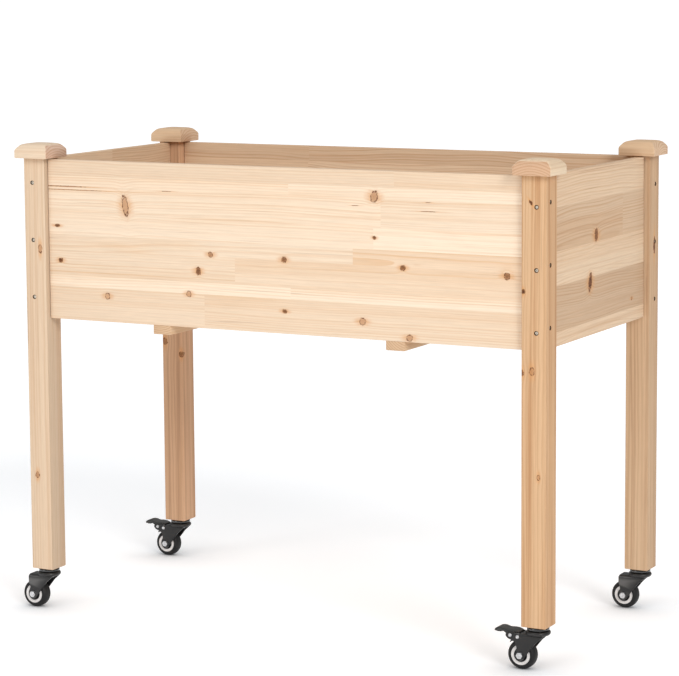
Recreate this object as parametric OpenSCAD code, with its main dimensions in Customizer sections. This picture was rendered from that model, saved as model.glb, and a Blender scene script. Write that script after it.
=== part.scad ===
// Raised wooden planter on four square legs, each on a 50 mm swivel caster.
// Frame: floor at z = 0, +X to the right, +Y to the rear, +Z up. The origin is the middle of the
// floor area that the whole object covers, casters and brake levers included.
// Corners are numbered 0 front left, 1 front right, 2 rear right, 3 rear left.

/* [Box] */
// Length over the posts' outer faces
box_length = 1016; // [800:1:1400]
// Depth over the posts' outer faces
box_depth = 508; // [440:1:700]
// Height of the side panels
panel_height = 286; // [270:1:400]
// Thickness of the side panels
panel_thick = 15; // [12:0.5:17]
// How far the panels sit back from the posts' outer faces
panel_recess = 10; // [6:0.5:11]
// Drop from the top of the posts to the top of the panels
panel_drop = 2; // [1:0.5:6]

/* [Posts and caps] */
// Side of the square post
post_side = 44; // [42:0.5:60]
// Length of the post
post_length = 750; // [650:1:900]
// Overhang of the cap past the post on each side
cap_overhang = 12; // [8:0.5:15]
// Height of the cap
cap_height = 26.5; // [22:0.5:35]
// Width of the sloping edge round the top of the cap
cap_slope = 10; // [4:0.5:14]

/* [Floor of the box] */
// Number of floor boards
floor_boards = 5; // [4:1:6]
// Thickness of the floor boards
floor_thick = 12; // [12:0.5:16]
// Drainage gap between floor boards
floor_gap = 3.5; // [2:0.5:6]
// Width of a floor joist
joist_width = 35; // [30:1:45]
// Thickness of the joist's tongue under a panel
joist_tongue = 16; // [14:0.5:20]
// Distance from the middle of the box to each joist
joist_at = 229; // [180:1:300]
// Side of the square cleat inside each end panel
cleat_side = 20; // [18:0.5:24]

/* [Screws] */
// Shank radius of the long screws
screw_r = 2; // [1.75:0.05:2.25]
// Drop from the post's top to its first screw
screw_first = 44; // [30:1:60]
// Distance between screws along a post
screw_pitch = 103; // [60:1:103]
// How much lower the screws sit on the post's neighbouring face
screw_stagger = 7.5; // [6:0.5:12]

/* [Casters] */
// Height from the floor to the bottom of the post
caster_height = 76; // [75:0.5:80]
// Wheel radius
wheel_r = 25; // [24:0.5:25.5]
// Width of the tread
tyre_width = 21.5; // [18:0.5:21.5]
// Distance from the swivel axis back to the axle
caster_trail = 27.5; // [26:0.5:28]
// Reach of the brake lever back from the swivel axis
lever_reach = 75; // [73:0.5:78]

/* [Hidden] */
corner_names = ["front_left", "front_right", "rear_right", "rear_left"];
side_names = ["front", "right", "rear", "left"];
end_names = ["left", "right"];
braked = [1, 3];

cut = 1;                 // how far a cutting shape runs past the face it cuts
fit = 0.1;               // radial room round a fixed screw or dowel
running = 0.05;          // radial room round a pin that turns
$fn = 48;

// Levels above the floor
post_top = caster_height + post_length;
panel_top = post_top - panel_drop;
panel_bottom = panel_top - panel_height;
joist_bottom = panel_bottom - joist_tongue;
floor_bottom = panel_bottom + cleat_side;
floor_top = floor_bottom + floor_thick;

// The casters trail to the left, so the covered area reaches further left than right
planter_x = (lever_reach - cap_overhang - post_side / 2) / 2;
post_at = [for (s = [[-1, -1], [1, -1], [1, 1], [-1, 1]])
    [s[0] * (box_length - post_side) / 2, s[1] * (box_depth - post_side) / 2]];
panel_mid = panel_recess + panel_thick / 2;
panel_inside = panel_recess + panel_thick;
inner_length = box_length - 2 * panel_inside;
inner_depth = box_depth - 2 * panel_inside;

// Puts a corner's piece at its post's axis; turned pieces follow the post round the box
module at_corner(i, turned = false) {
    translate([planter_x + post_at[i][0], post_at[i][1], 0]) rotate(turned ? 90 * i : 0) children();
}

// ---------- screws ----------
head_r = 4;
head_depth = 2.6;
head_sink = 0.6;
tip_length = 5;

// A countersunk wood screw along +Z with the top of its head at z = 0, pointing down
module screw(length, r = screw_r, head = head_r) {
    rotate_extrude($fn = 24) polygon([[0, 0], [head, 0], [head, -0.4], [r, -head_depth],
        [r, tip_length - length], [0, -length]]);
}

// The hole for that screw, open at the top
module screw_hole(length, r = screw_r, head = head_r) {
    rotate_extrude($fn = 24) polygon([[0, cut + head_sink], [head + fit, cut + head_sink],
        [head + fit, -0.4], [r + fit, -head_depth - fit], [r + fit, -length - 2 * fit], [0, -length - 2 * fit]]);
}

// The three screws that hold one panel end, seen from the face they enter, which is -X here
module panel_screw_row(stagger) {
    for (k = [0 : 2])
        translate([-post_side / 2 + head_sink, 0, post_top - screw_first - stagger - k * screw_pitch])
            rotate([0, -90, 0]) children();
}
panel_screw_length = post_side + 30;
// Distance of a panel's mid-plane from the post's axis
panel_off = post_side / 2 - panel_mid;

// Both rows of a post: the panel to its right (stagger) and the one to its rear (no stagger)
module post_screw_rows() {
    translate([0, -panel_off, 0]) panel_screw_row(screw_stagger) children();
    translate([-panel_off, 0, 0]) rotate(90) panel_screw_row(0) children();
}

module panel_screws() {
    color("dimgray") for (i = [0 : 3]) at_corner(i, true)
        post_screw_rows() screw(panel_screw_length);
}

// ---------- posts and caps ----------
post_edge = 1.5;
insert_r = 7;
insert_length = 25;
stem_r = 4.95;
stem_length = 35;
dowel_r = 4;
dowel_in = 15;

module post(i) {
    h = post_side / 2;
    color("burlywood") at_corner(i, true) difference() {
        translate([0, 0, caster_height]) linear_extrude(post_length)
            polygon([[-h + post_edge, -h], [h - post_edge, -h], [h, -h + post_edge], [h, h - post_edge],
                [h - post_edge, h], [-h + post_edge, h], [-h, h - post_edge], [-h, -h + post_edge]]);
        translate([0, 0, caster_height - cut]) cylinder(r = insert_r + fit, h = insert_length + cut);
        translate([0, 0, caster_height]) cylinder(r = stem_r + 2 * fit, h = stem_length + 2);
        translate([0, 0, post_top - dowel_in]) cylinder(r = dowel_r + fit, h = dowel_in + cut);
        post_screw_rows() screw_hole(panel_screw_length);
    }
}

module cap(i) {
    half = post_side / 2 + cap_overhang;
    side = [[-half, 0], [half, 0], [half, cap_height - cap_slope], [half - cap_slope, cap_height],
        [cap_slope - half, cap_height], [-half, cap_height - cap_slope]];
    color("navajowhite") at_corner(i) translate([0, 0, post_top]) difference() {
        intersection() {
            rotate([90, 0, 0]) linear_extrude(2 * half, center = true) polygon(side);
            rotate([90, 0, 90]) linear_extrude(2 * half, center = true) polygon(side);
        }
        translate([0, 0, -cut]) cylinder(r = dowel_r + fit, h = dowel_in + cut + 2 * fit);
    }
}

module cap_dowels() {
    color("wheat") for (i = [0 : 3]) at_corner(i)
        translate([0, 0, post_top - dowel_in + fit]) cylinder(r = dowel_r, h = 2 * dowel_in - fit);
}

module leg_inserts() {
    color("goldenrod") for (i = [0 : 3]) at_corner(i) translate([0, 0, caster_height]) difference() {
        cylinder(r = insert_r, h = insert_length);
        translate([0, 0, -cut]) cylinder(r = stem_r + fit, h = insert_length + 2 * cut);
    }
}

// ---------- panels ----------
joist_screw_spread = 9;
joist_screw_length = 45;
cleat_screw_length = 30;

// Panels 0 and 2 are the long ones; each runs from post i to the next post round the box
module panel(i) {
    length = (i % 2 == 0 ? box_length : box_depth) - 2 * post_side;
    color("wheat") difference() {
        translate([planter_x, 0, 0]) rotate(90 * i)
            translate([-length / 2, panel_mid - (i % 2 == 0 ? box_depth : box_length) / 2 - panel_thick / 2,
                panel_bottom]) cube([length, panel_thick, panel_height]);
        for (j = [i, (i + 1) % 4]) at_corner(j, true) post_screw_rows() screw_hole(panel_screw_length);
        if (i % 2 == 0) at_joist_screws() screw_hole(joist_screw_length);
        if (i % 2 == 1) at_cleat_screws() screw_hole(cleat_screw_length);
    }
}

// ---------- joists, cleats and floor ----------
board_width = (inner_depth - (floor_boards - 1) * floor_gap - 4) / floor_boards;
board_length = inner_length - 4;
function board_y(n) = (n - (floor_boards + 1) / 2) * (board_width + floor_gap);
cleat_x = inner_length / 2 - cleat_side / 2;
cleat_length = box_depth - 2 * post_side - 4;
floor_screw_r = 1.75;
floor_screw_head = 3.5;
floor_screw_length = 28;

module at_joist_screws() {
    for (x = [-joist_at, joist_at], e = [-1, 1], s = [-1, 1])
        translate([planter_x + x + s * joist_screw_spread, e * (box_depth / 2 - panel_mid),
            joist_bottom + head_sink]) rotate([180, 0, 0]) children();
}

module at_cleat_screws() {
    for (e = [-1, 1], n = [1 : floor_boards - 1])
        translate([planter_x + e * (cleat_x - cleat_side / 2 + head_sink), (board_y(n) + board_y(n + 1)) / 2,
            floor_bottom - cleat_side / 2]) rotate([0, -90 * e, 0]) children();
}

module at_floor_screws() {
    for (x = [-cleat_x, -joist_at, joist_at, cleat_x], n = [1 : floor_boards])
        translate([planter_x + x, board_y(n), floor_top - head_sink]) children();
}

// A joist hooks its tongues under the long panels and stands up between them to the floor
module joist(e) {
    color("burlywood") difference() {
        translate([planter_x + e * joist_at, 0, 0]) {
            translate([-joist_width / 2, panel_recess - box_depth / 2, joist_bottom])
                cube([joist_width, box_depth - 2 * panel_recess, joist_tongue]);
            translate([-joist_width / 2, -inner_depth / 2, joist_bottom])
                cube([joist_width, inner_depth, floor_bottom - joist_bottom]);
        }
        at_joist_screws() screw_hole(joist_screw_length);
        at_floor_screws() screw_hole(floor_screw_length, floor_screw_r, floor_screw_head);
    }
}

module end_cleat(e) {
    color("burlywood") difference() {
        translate([planter_x + e * cleat_x - cleat_side / 2, -cleat_length / 2, floor_bottom - cleat_side])
            cube([cleat_side, cleat_length, cleat_side]);
        at_cleat_screws() screw_hole(cleat_screw_length);
        at_floor_screws() screw_hole(floor_screw_length, floor_screw_r, floor_screw_head);
    }
}

// The outer boards are notched round the posts
module floor_board(n) {
    color("burlywood") difference() {
        translate([planter_x - board_length / 2, board_y(n) - board_width / 2, floor_bottom])
            cube([board_length, board_width, floor_thick]);
        for (i = [0 : 3]) at_corner(i) cube([post_side + 2, post_side + 2, 3 * post_top], center = true);
        at_floor_screws() screw_hole(floor_screw_length, floor_screw_r, floor_screw_head);
    }
}

module joist_screws() { color("dimgray") at_joist_screws() screw(joist_screw_length); }
module cleat_screws() { color("dimgray") at_cleat_screws() screw(cleat_screw_length); }
module floor_screws() {
    color("dimgray") at_floor_screws() screw(floor_screw_length, floor_screw_r, floor_screw_head);
}

// ---------- casters: local frame has the swivel axis at x = y = 0 and the axle at x = -trail ----------
race_r = 19;             // fixed upper race
race_gap = 0.4;          // between the upper and the lower race
race_bottom = caster_height - 7;
lower_race_r = 21;
crown_top = 62.5;        // top of the fork's top plate
crown_thick = 2.5;
kingpin_r = 5;
kingpin_head_r = 9;
ball_r = 1.5;
ball_ring_r = 13;
balls = 14;
ball_z = race_bottom - race_gap / 2;
cheek_in = 11.6;         // half the room between the fork's cheeks
cheek_thick = 2.4;
cheek_out = cheek_in + cheek_thick;
axle_r = 3;
rivet_r = 2;
brake_pivot = [-45.3, 57.8];
shoe_pivot = [-32, 56];

module swivel_balls() {
    color("silver") for (i = [0 : 3]) at_corner(i) for (k = [1 : balls])
        rotate(360 * k / balls) translate([ball_ring_r, 0, ball_z]) sphere(r = ball_r, $fn = 16);
}

// Threaded stem, upper race and kingpin in one turned piece
module caster_stem(i) {
    edge = 0.8;
    head_top = crown_top - crown_thick - 0.4;
    color("black") at_corner(i) difference() {
        rotate_extrude() polygon([[0, head_top - 3], [kingpin_head_r - 2, head_top - 3],
            [kingpin_head_r, head_top - 1.5], [kingpin_head_r, head_top], [kingpin_r, head_top],
            [kingpin_r, race_bottom], [race_r - edge, race_bottom], [race_r, race_bottom + 2 * edge],
            [race_r, caster_height - edge], [race_r - edge, caster_height], [stem_r, caster_height],
            [stem_r, caster_height + stem_length - 1], [stem_r - 1, caster_height + stem_length],
            [0, caster_height + stem_length]]);
        rotate_extrude() translate([ball_ring_r, ball_z]) circle(r = ball_r + fit, $fn = 24);
    }
}

// Outline of a fork cheek in the X-Z plane
module cheek_outline() {
    axle_end_r = 9;
    polygon([[12, crown_top], [12, 60.5], [2, 51.5], [-10, 36], [axle_end_r - caster_trail, wheel_r - 1.5],
        [-caster_trail, wheel_r], [-caster_trail - axle_end_r, wheel_r + 1.5], [-32.5, 39.5], [-36.5, 49],
        [-36.5, 60], [-34, crown_top]]);
    translate([-caster_trail, wheel_r]) circle(r = axle_end_r);
}

// The ear that carries the brake's two rivets
module ear_outline() {
    polygon([[-30, crown_top], [-30, 45], [-36.5, 48], [-43, 50.3], [-49.5, 52.6], [-53, 56], [-53.5, 59.4],
        [-51, 62.3], [-45, 62.8], [-38, crown_top + 0.2]]);
}

module fork(i) {
    has_brake = len(search(i, braked)) > 0;
    plate_back = has_brake ? -27 : -34;    // the top plate stops short of the brake shoe's rivet
    color("black") at_corner(i) difference() {
        union() {
            for (s = [-1, 1]) translate([0, s * (cheek_in + cheek_thick / 2), 0]) rotate([90, 0, 0])
                linear_extrude(cheek_thick, center = true) {
                    cheek_outline();
                    if (has_brake) ear_outline();
                }
            translate([0, 0, crown_top - crown_thick]) linear_extrude(crown_thick) {
                circle(r = 17.5);
                translate([plate_back, -cheek_out]) square([12 - plate_back, 2 * cheek_out]);
            }
            rotate_extrude() polygon([[0, crown_top - crown_thick / 2], [17, crown_top - crown_thick / 2],
                [lower_race_r - 2, crown_top - 0.5], [lower_race_r, crown_top + 1.5],
                [lower_race_r, race_bottom - race_gap - 1.5], [lower_race_r - 1.5, race_bottom - race_gap],
                [0, race_bottom - race_gap]]);
        }
        translate([0, 0, crown_top - 2 * crown_thick]) cylinder(r = kingpin_r + running, h = 20);
        rotate_extrude() translate([ball_ring_r, ball_z]) circle(r = ball_r + 0.35, $fn = 24);
        translate([-caster_trail, 0, wheel_r]) rotate([90, 0, 0])
            cylinder(r = axle_r + running, h = 40, center = true);
        if (has_brake) for (p = [brake_pivot, shoe_pivot]) translate([p[0], 0, p[1]]) rotate([90, 0, 0])
            cylinder(r = rivet_r + running, h = 40, center = true);
    }
}

// Places a wheel piece at its axle, turned so that its own axis is the axle
module at_axle(i) {
    at_corner(i) translate([-caster_trail, 0, wheel_r]) rotate([90, 0, 0]) children();
}

// Bolt with a low round head at the back and a hexagonal nut at the front
module axle_bolt(i) {
    nut_h = 3.6;
    bolt_end = cheek_out + nut_h + 1;
    color("silver") at_axle(i) {
        rotate_extrude() polygon([[0, -cheek_out - 2.6], [3, -cheek_out - 2.6], [5.2, -cheek_out - 1.4],
            [5.5, -cheek_out], [axle_r, -cheek_out], [axle_r, bolt_end - 0.8], [axle_r - 0.8, bolt_end],
            [0, bolt_end]]);
        translate([0, 0, cheek_out]) difference() {
            cylinder(r = 5.8, h = nut_h, $fn = 6);
            translate([0, 0, -cut]) cylinder(r = axle_r + running, h = nut_h + 2 * cut);
        }
    }
}

core_r = 17;
cover_r = 11.8;
hub_half = 11.1;
cover_thick = 2;

module tyre(i) {
    w = tyre_width / 2;
    shoulder = 4.5;
    color([0.12, 0.12, 0.12]) at_axle(i) rotate_extrude($fn = 72) difference() {
        union() {
            translate([0, -w + shoulder]) square([wheel_r, 2 * (w - shoulder)]);
            for (s = [-1, 1]) translate([wheel_r - shoulder, s * (w - shoulder)]) circle(r = shoulder);
            translate([0, -w]) square([wheel_r - shoulder, 2 * w]);
        }
        translate([-cut, -w - cut]) square([core_r + cut, 2 * (w + cut)]);
    }
}

module wheel_core(i) {
    w = tyre_width / 2 + 0.2;
    color("gainsboro") at_axle(i) rotate_extrude($fn = 72) polygon([[axle_r + running, -hub_half + cover_thick],
        [cover_r + fit, -hub_half + cover_thick], [cover_r + fit, -w], [core_r - 1, -w], [core_r, -w + 1],
        [core_r, w - 1], [core_r - 1, w], [cover_r + fit, w], [cover_r + fit, hub_half - cover_thick],
        [axle_r + running, hub_half - cover_thick]]);
}

module hub_covers(i) {
    color([0.15, 0.15, 0.15]) at_axle(i) for (s = [-1, 1])
        translate([0, 0, s * (hub_half - cover_thick / 2)]) difference() {
            cylinder(r = cover_r, h = cover_thick, center = true);
            cylinder(r = axle_r + running, h = cover_thick + 2 * cut, center = true);
        }
}

// ---------- brake ----------
lever_half = 10.9;
lever_thick = 2;

// Pedal with two side flanges that hang on the outer rivet
module brake_lever(i) {
    color("black") at_corner(i) difference() {
        rotate([90, 0, 0]) {
            linear_extrude(2 * lever_half, center = true) polygon([[-31, 62.1], [-33.5, 63.2], [-38, 64.6],
                [-45, 65], [-51, 64.4], [-55, 64.9], [-59, 66.2], [-64, 66.9], [-68.5, 66], [-71.8, 64],
                [2.4 - lever_reach, 62.2], [0.5 - lever_reach, 61.9], [-lever_reach, 63.4], [-73.6, 66],
                [-69.5, 68.3], [-64, 69.2], [-59, 68.6], [-55, 67.3], [-51, 66.8], [-45, 67.3], [-38, 66.9],
                [-33, 65.4], [-30, 64]]);
            for (s = [-1, 1]) translate([0, 0, s * (lever_half - lever_thick / 2)])
                linear_extrude(lever_thick, center = true) {
                    polygon([[-36, 65.2], [-41, 56.4], [-49.5, 56.4], [-56, 61], [-59, 62.6], [-63.5, 61.2],
                        [-69, 61], [0.8 - lever_reach, 62.4], [-73, 65], [-69, 67.2], [-64, 68], [-59, 67.4],
                        [-52, 65.6]]);
                    translate(brake_pivot) circle(r = 4.5);
                }
        }
        translate([brake_pivot[0], 0, brake_pivot[1]]) rotate([90, 0, 0])
            cylinder(r = rivet_r + running, h = 40, center = true);
    }
}

// Spring blade over the tread, hung on the inner rivet
module brake_shoe(i) {
    gap = 2.6;
    blade = 1.8;
    half_width = 8;
    color("black") at_corner(i) difference() {
        rotate([90, 0, 0]) linear_extrude(2 * half_width, center = true) {
            translate([-caster_trail, wheel_r]) intersection() {
                difference() {
                    circle(r = wheel_r + gap + blade, $fn = 72);
                    circle(r = wheel_r + gap, $fn = 72);
                }
                polygon([[0, 0], [-3, 40], [-40, 40], [-40, 38]]);
            }
            translate(shoe_pivot) circle(r = 3.6);
        }
        translate([shoe_pivot[0], 0, shoe_pivot[1]]) rotate([90, 0, 0])
            cylinder(r = rivet_r + running, h = 40, center = true);
    }
}

module brake_rivets(i) {
    head = 1.2;
    color("silver") at_corner(i) for (p = [brake_pivot, shoe_pivot]) translate([p[0], 0, p[1]])
        rotate([90, 0, 0]) rotate_extrude($fn = 32) polygon([[0, -cheek_out - head],
            [2.2, -cheek_out - head], [3.2, -cheek_out], [rivet_r, -cheek_out], [rivet_r, cheek_out],
            [3.2, cheek_out], [2.2, cheek_out + head], [0, cheek_out + head]]);
}

// ---------- draw ----------
for (i = [0 : 3]) {
    post(i);
    cap(i);
    panel(i);
    caster_stem(i);
    fork(i);
    axle_bolt(i);
    tyre(i);
    wheel_core(i);
    hub_covers(i);
}
for (i = braked) {
    brake_lever(i);
    brake_shoe(i);
    brake_rivets(i);
}
for (k = [0, 1]) {
    joist(2 * k - 1);
    end_cleat(2 * k - 1);
}
for (n = [1 : floor_boards]) {
    floor_board(n);
}
panel_screws();
joist_screws();
cleat_screws();
floor_screws();
cap_dowels();
leg_inserts();
swivel_balls();
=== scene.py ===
"""Raised wooden planter on casters: the looks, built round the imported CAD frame.

Metres, +X right, +Y to the rear, +Z up, floor at z = 0. Wooden boards carry three mesh attributes
that their material reads: grain (place within the board: along, across, through), strip (seed and
the place of the tree's pith) and tone (lightness, warmth, end grain).
"""
import math
import random

import bmesh
import bpy
from mathutils import Matrix, Vector


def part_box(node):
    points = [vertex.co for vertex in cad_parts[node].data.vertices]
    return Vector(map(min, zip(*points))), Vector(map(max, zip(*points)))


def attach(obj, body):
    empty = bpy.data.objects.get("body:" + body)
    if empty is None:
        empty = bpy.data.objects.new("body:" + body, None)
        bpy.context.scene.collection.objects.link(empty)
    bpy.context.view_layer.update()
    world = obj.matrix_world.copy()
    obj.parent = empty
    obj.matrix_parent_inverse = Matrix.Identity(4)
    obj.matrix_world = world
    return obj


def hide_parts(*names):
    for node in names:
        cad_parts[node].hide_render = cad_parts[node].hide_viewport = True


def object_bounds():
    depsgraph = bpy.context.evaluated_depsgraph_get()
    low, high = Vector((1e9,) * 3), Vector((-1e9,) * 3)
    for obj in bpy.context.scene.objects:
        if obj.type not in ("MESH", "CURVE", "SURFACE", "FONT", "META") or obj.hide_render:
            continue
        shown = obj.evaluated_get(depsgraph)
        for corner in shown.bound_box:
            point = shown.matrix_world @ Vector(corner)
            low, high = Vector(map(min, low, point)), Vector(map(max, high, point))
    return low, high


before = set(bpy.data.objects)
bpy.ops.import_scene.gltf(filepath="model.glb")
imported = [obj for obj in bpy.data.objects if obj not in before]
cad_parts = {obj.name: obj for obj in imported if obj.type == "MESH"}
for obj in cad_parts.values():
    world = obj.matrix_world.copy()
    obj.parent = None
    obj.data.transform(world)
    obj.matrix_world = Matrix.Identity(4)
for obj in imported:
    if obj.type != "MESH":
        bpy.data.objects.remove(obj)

cad_low, cad_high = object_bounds()
MM = 0.001
CORNERS = ("front_left", "front_right", "rear_right", "rear_left")
BRAKED = ("front_right", "rear_left")


# ---------------------------------------------------------------- node graphs
class Graph:
    """Builds a material's nodes with short calls. Every call returns the socket it made."""

    def __init__(self, name):
        self.material = bpy.data.materials.new(name)
        self.material.use_nodes = True
        self.tree = self.material.node_tree
        self.shader = self.tree.nodes["Principled BSDF"]

    def feed(self, socket, value):
        if isinstance(value, bpy.types.NodeSocket):
            self.tree.links.new(value, socket)
        elif value is not None:
            socket.default_value = value

    def add(self, kind, inputs, output=0, **settings):
        """A new node. settings are its properties; inputs says what its sockets get, by name or number."""
        node = self.tree.nodes.new(kind)
        for key, value in settings.items():
            setattr(node, key, value)
        for key, value in inputs.items():
            self.feed(node.inputs[key], value)
        return node.outputs[output]

    def place(self):
        """Where a point lies on its piece, in metres."""
        return self.add("ShaderNodeTexCoord", {}, "Object")

    def attribute(self, name):
        return self.add("ShaderNodeAttribute", {}, "Vector", attribute_name=name)

    def split(self, vector):
        return self.add("ShaderNodeSeparateXYZ", {0: vector}).node.outputs[:3]

    def join(self, x, y, z):
        return self.add("ShaderNodeCombineXYZ", {0: x, 1: y, 2: z})

    def math(self, operation, a, b=None, clamp=False):
        return self.add("ShaderNodeMath", {0: a, 1: b}, operation=operation, use_clamp=clamp)

    def times(self, a, b, clamp=False):
        return self.math("MULTIPLY", a, b, clamp=clamp)

    def plus(self, a, b, clamp=False):
        return self.math("ADD", a, b, clamp=clamp)

    def minus(self, a, b):
        return self.math("SUBTRACT", a, b)

    def vector(self, operation, a, b=None):
        output = "Value" if operation == "LENGTH" else "Vector"
        return self.add("ShaderNodeVectorMath", {0: a, 1: b}, output, operation=operation)

    def scaled(self, vector, scale, start=None):
        """The vector times scale, moved on by start."""
        longer = self.vector("MULTIPLY", vector, (scale, scale, scale))
        return longer if start is None else self.vector("ADD", longer, start)

    def noise(self, vector, scale=1.0, detail=2.0, roughness=0.5, output=0):
        inputs = {"Vector": vector, "Scale": scale, "Detail": detail, "Roughness": roughness}
        return self.add("ShaderNodeTexNoise", inputs, output)

    def swing(self, vector, reach, scale=1.0, detail=1.0):
        """Noise spread evenly round zero, up to about +reach and -reach."""
        return self.times(self.minus(self.noise(vector, scale, detail), 0.5), 2 * reach)

    def step(self, value, low, high, start=0.0, end=1.0):
        inputs = {0: value, 1: low, 2: high, 3: start, 4: end}
        return self.add("ShaderNodeMapRange", inputs, interpolation_type="SMOOTHSTEP")

    def mix(self, share, a, b, blend="MIX"):
        a, b = (c if isinstance(c, bpy.types.NodeSocket) else (*c, 1.0) for c in (a, b))
        return self.add("ShaderNodeMix", {0: share, 6: a, 7: b}, 2, data_type="RGBA", blend_type=blend)

    def grey(self, value):
        return self.join(value, value, value)

    def bump(self, height, depth, strength=1.0):
        inputs = {"Strength": strength, "Distance": depth, "Height": height}
        return self.add("ShaderNodeBump", inputs)

    def finish(self, colour, roughness, normal=None, metallic=0.0, **fixed):
        """Joins colour, roughness and bump to the shader; fixed are constants on its own sockets."""
        self.feed(self.shader.inputs["Base Color"], colour)
        self.feed(self.shader.inputs["Roughness"], roughness)
        self.feed(self.shader.inputs["Metallic"], metallic)
        if normal is not None:
            self.feed(self.shader.inputs["Normal"], normal)
        for key, value in fixed.items():
            self.feed(self.shader.inputs[key.replace("_", " ").title().replace("Ior", "IOR")], value)
        return self.material


# ---------------------------------------------------------------- wood
CREAM = (0.93, 0.74, 0.545)
TAN = (0.80, 0.505, 0.295)
KNOT_DARK = (0.070, 0.024, 0.011)
KNOT_RIM = (0.135, 0.046, 0.020)
KNOT_BROWN = (0.37, 0.140, 0.052)
KNOT_HALO = (0.66, 0.315, 0.115)
STAIN = (0.80, 0.47, 0.22)
HAIRLINE = (0.44, 0.22, 0.12)
END_STAIN = (0.60, 0.30, 0.17)


def knot_field(g, place, shift, knots):
    """Nearness to the knots: distance in knot radii, the same stretched along the grain, how far the
    rings are pushed aside, and how dark the nearest knot is.

    knots are (along, across, through, half length, half width, half depth, darkness, tilt), in mm
    from the middle of the board and degrees."""
    ragged = g.noise(g.scaled(place, 210, shift), output="Color")
    jitter = g.scaled(g.vector("SUBTRACT", ragged, (0.5, 0.5, 0.5)), 0.9)
    nearest = stretched = push = darkness = None
    for a, b, c, half_a, half_b, half_c, dark, tilt in knots:
        centre = (a * MM, b * MM, c * MM)
        spot = place
        if tilt:
            spot = g.add("ShaderNodeVectorRotate", {"Vector": place, "Center": centre,
                                                    "Angle": math.radians(tilt)}, rotation_type="Z_AXIS")
        radii = (half_a * MM, half_b * MM, half_c * MM)
        offset = g.vector("ADD", g.vector("DIVIDE", g.vector("SUBTRACT", spot, centre), radii), jitter)
        away = g.vector("LENGTH", offset)
        far = g.vector("LENGTH", g.vector("MULTIPLY", offset, (0.36, 0.80, 1.0)))
        lift = g.times(g.math("EXPONENT", g.times(away, -0.7)), (half_b * 0.9 + 1.5) * MM)
        mark = g.times(g.step(away, 1.7, 1.0), dark)
        nearest = away if nearest is None else g.math("MINIMUM", nearest, away)
        stretched = far if stretched is None else g.math("MINIMUM", stretched, far)
        push = lift if push is None else g.plus(push, lift)
        darkness = mark if darkness is None else g.math("MAXIMUM", darkness, mark)
    return nearest, stretched, push, darkness


def paint_knots(g, colour, shift, place, nearest, stretched, darkness):
    """Colours the knots: a halo drawn out along the grain, a ringed heart and a broken dark rim."""
    halo = g.times(g.step(stretched, 1.45, 0.35), g.plus(0.56, g.times(darkness, 0.26)))
    colour = g.mix(halo, colour, KNOT_HALO)
    growth = g.math("FRACT", g.times(nearest, 2.6))
    patch = g.noise(g.scaled(place, 330, shift))
    heart = g.mix(g.step(growth, 0.25, 0.9, 0.0, 0.6), KNOT_BROWN, KNOT_DARK)
    heart = g.mix(g.times(darkness, g.step(patch, 0.32, 0.64, 0.25, 1.0)), heart, KNOT_DARK)
    core = g.times(g.step(nearest, 1.20, 0.55), g.plus(0.26, g.times(darkness, 0.74)))
    colour = g.mix(core, colour, heart)
    rim = g.times(g.step(nearest, 1.26, 1.06), g.step(nearest, 0.72, 0.94))
    rim = g.times(rim, g.step(patch, 0.38, 0.60, 0.25, 1.0))
    return g.mix(rim, colour, KNOT_RIM)


def scattered_knots(seed, along, across, deep):
    """Two or three knots anywhere within along and across of a board's middle, in mm."""
    draw = random.Random(seed)
    knots = []
    for _ in range(draw.randint(2, 3)):
        size = draw.uniform(4, 9)
        knots.append((draw.uniform(-along, along), draw.uniform(-across, across), 0,
                      size, size * 0.85, deep, draw.uniform(0.4, 0.95), 0))
    return knots


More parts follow.
